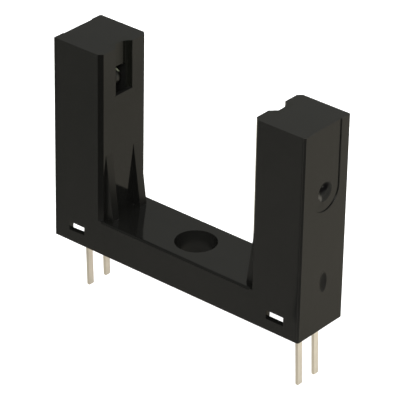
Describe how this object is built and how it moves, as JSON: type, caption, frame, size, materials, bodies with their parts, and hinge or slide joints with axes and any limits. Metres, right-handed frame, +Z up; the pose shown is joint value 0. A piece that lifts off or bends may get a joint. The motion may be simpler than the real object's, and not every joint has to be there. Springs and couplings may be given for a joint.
{
  "type": "photo interrupter",
  "caption": "Slotted optical switch: a black U-shaped housing with an infrared emitter and a phototransistor facing across its slot, flat solder leads and a screw hole.",
  "frame": {"origin": "on the screw hole's axis, at the underside of the housing, which seats on the board", "axes": "+X along the length from the emitter post to the detector post, +Y from the front to the back, +Z up along the screw hole and the posts"},
  "size_m": [0.023, 0.005, 0.0211],
  "materials": {
    "housing": "black moulded, semi-gloss",
    "clear_resin": "clear moulded epoxy",
    "dark_resin": "dark infrared-pass epoxy",
    "lead": "dull tin plating",
    "chip": "semiconductor die",
    "bond_wire": "gold wire"
  },
  "bodies": {
    "root": {"housing": "housing", "emitter_package": "clear_resin", "detector_package": "dark_resin", "cathode_lead": "lead", "anode_lead": "lead", "collector_lead": "lead", "emitter_lead": "lead", "led_chip": "chip", "phototransistor_chip": "chip", "led_bond_wire": "bond_wire", "phototransistor_bond_wire": "bond_wire"}
  },
  "joints": []
}
